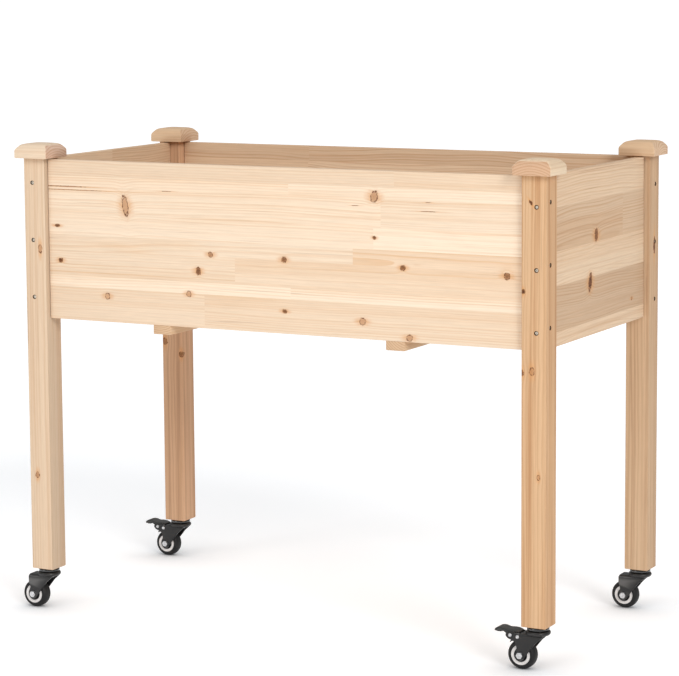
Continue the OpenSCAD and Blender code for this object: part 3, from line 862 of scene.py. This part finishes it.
def make_base():
    """Notched joists, end cleats and floor boards."""
    look = wood("wood_joists", light=(0.84, 0.61, 0.40), dark=(0.60, 0.34, 0.18), ring=3.8)
    panel_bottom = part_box("panel_front")[0].z
    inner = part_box("panel_front")[1].y
    for n, end in enumerate(("left", "right")):
        node = "joist_" + end
        low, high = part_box(node)
        outline = [(low.y, low.z), (high.y, low.z), (high.y, panel_bottom), (-inner, panel_bottom),
                   (-inner, high.z), (inner, high.z), (inner, panel_bottom), (low.y, panel_bottom)]
        board("joist_wood_" + end, node, "X", outline, "Y", "X", look, "joist_wood", seed=71 + n, edge=0.8,
              pith=(10.0, -30.0))
        node = "end_cleat_" + end
        board("end_cleat_wood_" + end, node, "Y", rectangle(node, "Y"), "Y", "X", look, "joist_wood",
              seed=81 + n, edge=0.8)

    count = sum(name.startswith("floor_board_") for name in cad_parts)
    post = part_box("post_front_left")[1]
    clear = 1 * MM
    for n in range(1, count + 1):
        node = f"floor_board_{n}"
        low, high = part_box(node)
        outline = rectangle(node, "Z")
        left = post.x + clear
        right = low.x + high.x - left
        notch = post.y + clear
        if low.y < notch:
            outline = [(left, low.y), (right, low.y), (right, notch), (high.x, notch), (high.x, high.y),
                       (low.x, high.y), (low.x, notch), (left, notch)]
        elif high.y > -notch:
            outline = [(low.x, low.y), (high.x, low.y), (high.x, -notch), (right, -notch), (right, high.y),
                       (left, high.y), (left, -notch), (low.x, -notch)]
        look = wood(f"wood_floor_{n}", light=(0.86, 0.64, 0.44), dark=(0.64, 0.38, 0.21),
                    knots=scattered_knots(40 + n, 430, 32, 60))
        board(f"floor_wood_{n}", node, "Z", outline, "X", "Y", look, "floor_wood", seed=91 + n, edge=0.8,
              pith=(0.0, -50.0))


# ---------------------------------------------------------------- casters
# In mm, from where the swivel's axis meets the floor; every wheel trails towards -X
TRAIL = 27.5                  # the axle lies this far behind the swivel's axis
AXLE_Z = 25.0
CROWN = 62.5                  # top of the fork's folded channel
CHEEK_OUT = 14.0              # outer face of a fork's cheek, from the wheel's middle plane
CHEEK_THICK = 2.4
POST_Z = 76.0                 # the post's foot
PIVOT = (-45.3, 57.8)         # (x, z) of the lever's rivet
SHOE_PIVOT = (-32.0, 56.0)    # (x, z) of the shoe's rivet
PIN_HOLE_R = 2.06             # holes for the brake's rivets
KINGPIN_HOLE_R = 5.06


def caster_stem(name, material):
    """Upper race with its rolled edge, threaded stem above and riveted kingpin below."""
    profile = [(0, 56.6), (6, 56.6), (8.2, 57.0), (9, 58.2), (9, 59.6), (5, 59.6), (5, 69), (16.0, 69),
               (17.5, 69.3), (18.4, 70.0), (18.9, 71.0), (19, 72.1), (18.8, 73.3), (18.3, 74.3),
               (17.4, 75.2), (16.2, 75.8), (14.8, 76), (4.95, 76)]
    pitch = 1.5
    level = 77.0
    while level < 110:
        profile += [(4.95, level), (4.35, level + pitch / 2)]
        level += pitch
    profile += [(4.9, 110.2), (4.2, 111), (0, 111)]
    return smooth(turned(name, mm(profile), material), 38)


def pressed(name, outline, low, high, material=None):
    """An outline of (x, z) points pushed along Y from low to high, all in mm."""
    return extruded(name, mm(outline), "Y", low * MM, high * MM, material)


def fork_outline(has_brake):
    """Side view of the pressed fork, (X, Z) in mm, going round from the front top."""
    end = arc((-TRAIL, AXLE_Z), 9.0, -18, -172, 12)
    front = [(13, CROWN + 1), (13.5, 60.8), (11, 57.6), (2, 49.8), (-9.5, 35.5)]
    plain_back = [(-33.2, 38.5), (-36.2, 46), (-36.5, 50), (-36.5, 58.5), (-34, CROWN + 1)]
    brake_back = [(-33.2, 38.5), (-36.8, 46.9), (-43, 49.7), (-49.8, 52.4), (-53.2, 56.2), (-53.4, 59.7),
                  (-50.5, 62.4), (-45, 62.8), (-38, 62.7), (-32, CROWN + 1)]
    return front + end + (brake_back if has_brake else plain_back)


def caster_fork(name, material, has_brake):
    """Pressed steel fork: a folded channel cut to its side outline, with the lower race on top."""
    outer, thick, top = CHEEK_OUT, CHEEK_THICK, CROWN
    bend = 4.5
    channel = [(-outer, 10), *arc((-outer + bend, top - bend), bend, 180, 90, 6),
               *arc((outer - bend, top - bend), bend, 90, 0, 6), (outer, 10), (outer - thick, 10),
               *arc((outer - bend, top - bend), bend - thick, 0, 90, 6),
               *arc((-outer + bend, top - bend), bend - thick, 90, 180, 6), (-outer + thick, 10)]
    piece = extruded(name, mm(channel), "X", -60 * MM, 20 * MM, material)
    boolean(piece, pressed("side", rounded(fork_outline(has_brake), 1.6, 3), -20, 20), "INTERSECT")
    if has_brake:    # the ears are flat sheets behind the crown, open on top for the lever
        gap = outer - thick
        behind = [(-60, 40), (-27, 40), (-27, 70), (-60, 70)]
        boolean(piece, pressed("opening", behind, -gap, gap), "DIFFERENCE")
        ear = rounded([(-34, 54.4), (-44, 50.2), (-49.8, 52.4), (-53.2, 56.2), (-53.4, 59.7),
                       (-50.5, 62.4), (-45, 62.8), (-38, 62.7), (-28, 62.4)], 1.2, 3)
        for s in (-1, 1):
            boolean(piece, pressed("ear", ear, s * gap, s * outer), "UNION")
    race = turned("race", mm([(0, 60.6), (16.2, 60.6), (18.4, 61.2), (19.8, 62.2), (20.7, 63.5), (21, 64.9),
                              (20.9, 66.0), (20.3, 67.2), (19.3, 68.1), (17.8, 68.6), (0, 68.6)]), None, 64)
    boolean(piece, race, "UNION")
    bore = turned("bore", mm([(0, 55), (KINGPIN_HOLE_R, 55), (KINGPIN_HOLE_R, 75), (0, 75)]), None, 48)
    boolean(piece, bore, "DIFFERENCE")
    clean(piece)
    soften(piece, 0.5 * MM, 3, 42)
    return smooth(piece, 32)


def along_axle(piece, x=-TRAIL, z=AXLE_Z):
    """Turns a piece built round Z so that its top faces -Y, at the axle."""
    return moved(piece, Matrix.Translation((x * MM, 0, z * MM)) @ turn(90, "X"))


def both_sides(points):
    """A profile that goes on with its own mirror image, back to the start."""
    return points + [(radius, -height) for radius, height in reversed(points)]


def tyre(name, material):
    """Round-shouldered tread with a moulding line and a shallow side groove."""
    half = [(17.0, 10.75), (17.8, 10.75), (18.3, 10.4), (19.2, 10.4), (19.8, 10.7), (20.8, 10.4), (22.2, 9.5),
            (23.3, 8.3), (24.1, 6.8), (24.65, 4.9), (24.92, 2.6), (25.0, 0.45), (24.86, 0.25)]
    return smooth(along_axle(turned(name, mm(both_sides(half)), material, 96, closed=True)), 40)


def wheel_core(name, material):
    """Light plastic rim: a dished ring each side, with a stepped lip against the tread."""
    face = [(3.05, 9.1), (11.85, 9.1), (11.85, 10.3), (12.2, 10.7), (12.7, 10.7), (13.2, 10.1), (14.1, 9.6),
            (15.1, 9.7), (15.7, 10.3), (16.2, 10.85), (16.8, 10.85), (17.0, 10.6)]
    return smooth(along_axle(turned(name, mm(both_sides(face)), material, 96, closed=True)), 30)


def hub_covers(name, material):
    """A black dust cover on each side, with a raised rim and a bearing boss."""
    one = [(3.06, 9.15), (11.75, 9.15), (11.75, 10.5), (11.4, 11.0), (10.6, 11.1), (10.0, 10.6), (9.5, 10.3),
           (6.9, 10.3), (6.5, 10.9), (6.1, 11.1), (3.06, 11.1)]
    pieces = [turned("cover", mm(one), material, 64, closed=True),
              turned("cover", mm([(r, -z) for r, z in one]), material, 64, closed=True)]
    return smooth(along_axle(joined(name, pieces)), 35)


def axle_bolt(name, material):
    """Round bolt head at the back; chamfered hexagonal nut and the bolt's end at the front."""
    out = CHEEK_OUT
    bolt = turned("bolt", mm([(0, -out - 2.6), (2.2, -out - 2.5), (3.8, -out - 2.0), (4.9, -out - 1.2),
                              (5.5, -out - 0.2), (5.5, -out), (3, -out), (3, out + 3.7),
                              (2.7, out + 4.3), (2.0, out + 4.6), (0, out + 4.6)]), material, 48)
    nut = turned("nut", mm([(3.02, out), (5.8, out), (5.8, out + 3.6), (3.02, out + 3.6)]), material, 6,
                 closed=True)
    trim = turned("trim", mm([(0, out - 0.5), (5.5, out - 0.5), (6.0, out + 0.3), (6.0, out + 2.9),
                              (5.0, out + 3.6), (0, out + 3.7)]), None, 48)
    boolean(nut, trim, "INTERSECT")
    soften(nut, 0.2 * MM, 2, 35)
    return smooth(along_axle(joined(name, [bolt, nut])), 30)


def brake_lever(name, material):
    """Pressed pedal: a bent plate with a raised foot pad; two skirts reach down to the outer rivet."""
    half = 10.9
    top = [(-30, 64), (-33, 65.4), (-38, 66.9), (-45, 67.3), (-51, 66.8), (-55, 67.3), (-59, 68.6),
           (-64, 69.2), (-69.5, 68.3), (-73.6, 66), (-75, 63.4), (-74.5, 61.9), (-72.6, 62.2)]
    under = [(-71.8, 64), (-68.5, 66), (-64, 66.9), (-59, 66.2), (-55, 64.9), (-51, 64.4), (-45, 65),
             (-38, 64.6), (-33.5, 63.2), (-31, 62.1)]
    plate = pressed("plate", top + under, -half, half, material)
    soften(plate, 0.6 * MM, 3, 35)
    pieces = [plate]
    for centre in ((-60.5, 68.7), (-64.0, 69.0), (-67.5, 68.5)):    # grip ridges across the foot pad
        pieces.append(pressed("ridge", arc(centre, 0.75, 0, 315, 7), -7.5, 7.5, material))
    flange = [(-52, 65.6), (-59, 67.4), (-64, 68), (-69, 67.2), (-73, 65), (-74.2, 62.4), (-69, 61),
              (-63.5, 61.2), (-59, 62.6), (-56, 61), (-51.5, 57.5), *arc(PIVOT, 4.5, 200, 340, 8),
              (-40, 59), (-36, 65.2)]
    pin = [(0, -20), (PIN_HOLE_R, -20), (PIN_HOLE_R, 20), (0, 20)]
    for low, high in ((-half, 2 - half), (half - 2, half)):
        side = pressed("flange", flange, low, high, material)
        boolean(side, along_axle(turned("pin", mm(pin), None, 32), *PIVOT), "DIFFERENCE")
        soften(side, 0.3 * MM, 2, 40)
        pieces.append(side)
    return smooth(joined(name, pieces), 35)


def brake_shoe(name, material):
    """Spring blade that follows the tread, rolled round the inner rivet."""
    axle = (-TRAIL, AXLE_Z)
    tyre_r, clear, thick = 25.0, 2.6, 1.8
    inner = tyre_r + clear
    blade = arc(axle, inner + thick, 96, 136, 14) + arc(axle, inner, 136, 96, 14)
    band = pressed("blade", blade, -8, 8, material)
    soften(band, 0.3 * MM, 2, 40)
    profile = [(PIN_HOLE_R, -8), (3.6, -8), (3.6, 8), (PIN_HOLE_R, 8)]
    roll = turned("roll", mm(profile), material, 40, closed=True)
    soften(roll, 0.25 * MM, 2, 40)
    along_axle(roll, *SHOE_PIVOT)
    return smooth(joined(name, [band, roll]), 35)


def brake_rivets(name, material):
    """Two zinc rivets with domed, dimpled heads."""
    out = CHEEK_OUT
    half = [(0, out + 0.75), (0.8, out + 0.8), (1.2, out + 1.15), (2.0, out + 1.1), (2.8, out + 0.7),
            (3.2, out + 0.05), (3.2, out), (2, out)]
    profile = mm(both_sides(half))
    pieces = [along_axle(turned("rivet", profile, material, 32), *pin) for pin in (PIVOT, SHOE_PIVOT)]
    return smooth(joined(name, pieces), 35)


def make_casters():
    """Every caster's pieces, moved under their post."""
    black = coated_steel("black_coat", gloss=0.26, edge_wear_and_sheen=0.45)
    race = coated_steel("race_coat", (0.003, 0.003, 0.0035), gloss=0.03, dusty=0.05, varnish=1.0)
    # the pedal's coat is lighter than the black coat: a painted sheen
    pedal = coated_steel("pedal_coat_painted_sheen", (0.022, 0.022, 0.021), gloss=0.26, edge_wear_and_sheen=0.3)
    zinc = bright_steel("zinc")
    rubber = tread_rubber("tread")
    grey = moulded_plastic("core_grey", (0.80, 0.765, 0.745), 0.30)
    cover = moulded_plastic("cover_black", (0.008, 0.0075, 0.0075), 0.22)
    for corner in CORNERS:
        has_brake = corner in BRAKED
        low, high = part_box("post_" + corner)
        at = Matrix.Translation(((low.x + high.x) / 2, (low.y + high.y) / 2, low.z - POST_Z * MM))
        swivel, wheel = "swivel_" + corner, "wheel_" + corner
        parts = [("caster_stem_", caster_stem, race, "frame", "black_steel"),
                 ("tyre_", tyre, rubber, wheel, "tyre_rubber"),
                 ("wheel_core_", wheel_core, grey, wheel, "core_plastic"),
                 ("hub_covers_", hub_covers, cover, wheel, "cover_plastic"),
                 ("axle_bolt_", axle_bolt, zinc, swivel, "zinc_steel")]
        if has_brake:
            parts += [("brake_lever_", brake_lever, pedal, "lever_" + corner, "lever_steel"),
                      ("brake_shoe_", brake_shoe, black, swivel, "black_steel"),
                      ("brake_rivets_", brake_rivets, zinc, swivel, "zinc_steel")]
        for prefix, make, material, body, slot in parts:
            piece = moved(make("look_" + prefix + corner, material), at)
            show(piece, body, slot, prefix + corner)
        piece = moved(caster_fork("look_fork_" + corner, black, has_brake), at)
        show(piece, swivel, "black_steel", "fork_" + corner)


def dress_hidden_nodes():
    """Materials for the CAD nodes that stay: dowels, leg inserts and swivel balls."""
    steel = bright_steel("ball_steel_look", (0.78, 0.78, 0.80), 0.08)
    zinc = bright_steel("insert_look", (0.70, 0.67, 0.55), 0.3)
    g = Graph("dowel_look")
    place = g.place()
    lines = g.noise(g.vector("MULTIPLY", place, (900, 900, 30)), 1.0, 3.0)
    shade = g.mix(lines, (0.82, 0.62, 0.42), (0.62, 0.40, 0.23))
    dowel = g.finish(shade, g.plus(0.5, g.times(lines, 0.2)), g.bump(lines, 0.1 * MM, 0.5))
    for node, material in (("swivel_balls", steel), ("leg_inserts", zinc), ("cap_dowels", dowel)):
        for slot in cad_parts[node].material_slots:
            slot.link = "OBJECT"
            slot.material = material


# ---------------------------------------------------------------- stage
def make_floor():
    """Wide white floor that glows a little, with a painted contact shadow where a caster or a post stands
    close: its colour and glow darken there.
    """
    bm = bmesh.new()
    bmesh.ops.create_grid(bm, x_segments=4, y_segments=4, size=120)
    floor = new_object("studio_floor", bm)
    g = Graph("studio_white")
    grain = g.noise(g.place(), 3.0)
    open_sky = g.add("ShaderNodeAmbientOcclusion", {"Distance": 0.16}, "AO", samples=5)
    white = g.mix(g.step(grain, 0.3, 0.7), (0.90, 0.90, 0.90), (0.905, 0.905, 0.905))
    # painted contact shadow: colour and glow darken where ambient occlusion finds a caster or a post close by
    white = g.mix(open_sky, (0.36, 0.36, 0.36), white)
    glow = g.mix(open_sky, (0.05, 0.05, 0.05), (0.96, 1.0, 1.05))
    floor.data.materials.append(g.finish(white, 0.9, specular_ior_level=0.0, emission_strength=0.34,
                                         emission_color=glow))


def make_sky():
    """A sky bright overhead and dimmer towards the horizon, as between studio soft boxes."""
    world = bpy.data.worlds.new("studio")
    bpy.context.scene.world = world
    world.use_nodes = True
    tree = world.node_tree
    sky = tree.nodes["Background"]
    split = tree.nodes.new("ShaderNodeSeparateXYZ")
    ramp = tree.nodes.new("ShaderNodeMapRange")
    tree.links.new(tree.nodes.new("ShaderNodeTexCoord").outputs["Generated"], split.inputs[0])
    tree.links.new(split.outputs["Z"], ramp.inputs["Value"])
    tree.links.new(ramp.outputs[0], sky.inputs["Strength"])
    for socket, value in (("From Min", 0.0), ("From Max", 0.9), ("To Min", 0.12), ("To Max", 0.78)):
        ramp.inputs[socket].default_value = value
    sky.inputs["Color"].default_value = (1.0, 1.0, 1.0, 1.0)


def add_light(name, kind, place, target, energy, **settings):
    """A light at place that shines towards target."""
    data = bpy.data.lights.new(name, kind)
    data.energy = energy
    for key, value in settings.items():
        setattr(data, key, value)
    lamp = linked(bpy.data.objects.new(name, data))
    lamp.location = place
    lamp.rotation_mode = "QUATERNION"
    lamp.rotation_quaternion = (Vector(target) - Vector(place)).to_track_quat("-Z", "Y")


def make_lights():
    """A broad light from the front left, a firmer one from the right and a soft box in front."""
    middle = (0, 0, 0)
    add_light("front_left", "SUN", (-2.48, -4.16, 1.68), middle, 0.39, angle=math.radians(25))
    add_light("right", "SUN", (3.2, -2.4, 2.12), middle, 1.25, angle=math.radians(22))
    add_light("front_box", "AREA", (0.4, -2.6, 2.3), (0, -0.25, 0.6), 12.0, shape="DISK", size=1.6)


def make_camera():
    """A long lens in front of the right end, a little above the box."""
    data = bpy.data.cameras.new("camera")
    camera = linked(bpy.data.objects.new("camera", data))
    yaw, pitch, roll = 27.732, 7.196, -0.414          # degrees: turned left, tipped down, rolled
    data.sensor_width = 36.0
    data.lens = 139.1
    data.shift_y = -0.0707
    data.clip_end = 500.0
    post_middle_x = (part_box("post_front_left")[0].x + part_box("post_front_right")[1].x) / 2
    camera.location = (post_middle_x + 2.17427, -4.14344, 1.17567)
    camera.rotation_mode = "QUATERNION"
    camera.rotation_quaternion = (turn(yaw, "Z") @ turn(90 - pitch, "X") @ turn(roll, "Z")).to_quaternion()
    bpy.context.scene.camera = camera
    bpy.context.scene.view_settings.view_transform = "Standard"


make_floor()
make_sky()
make_lights()
make_camera()
make_posts()
make_caps()
make_panels()
make_base()
make_screws(screw_finish("screw_bronze"))
make_casters()
dress_hidden_nodes()
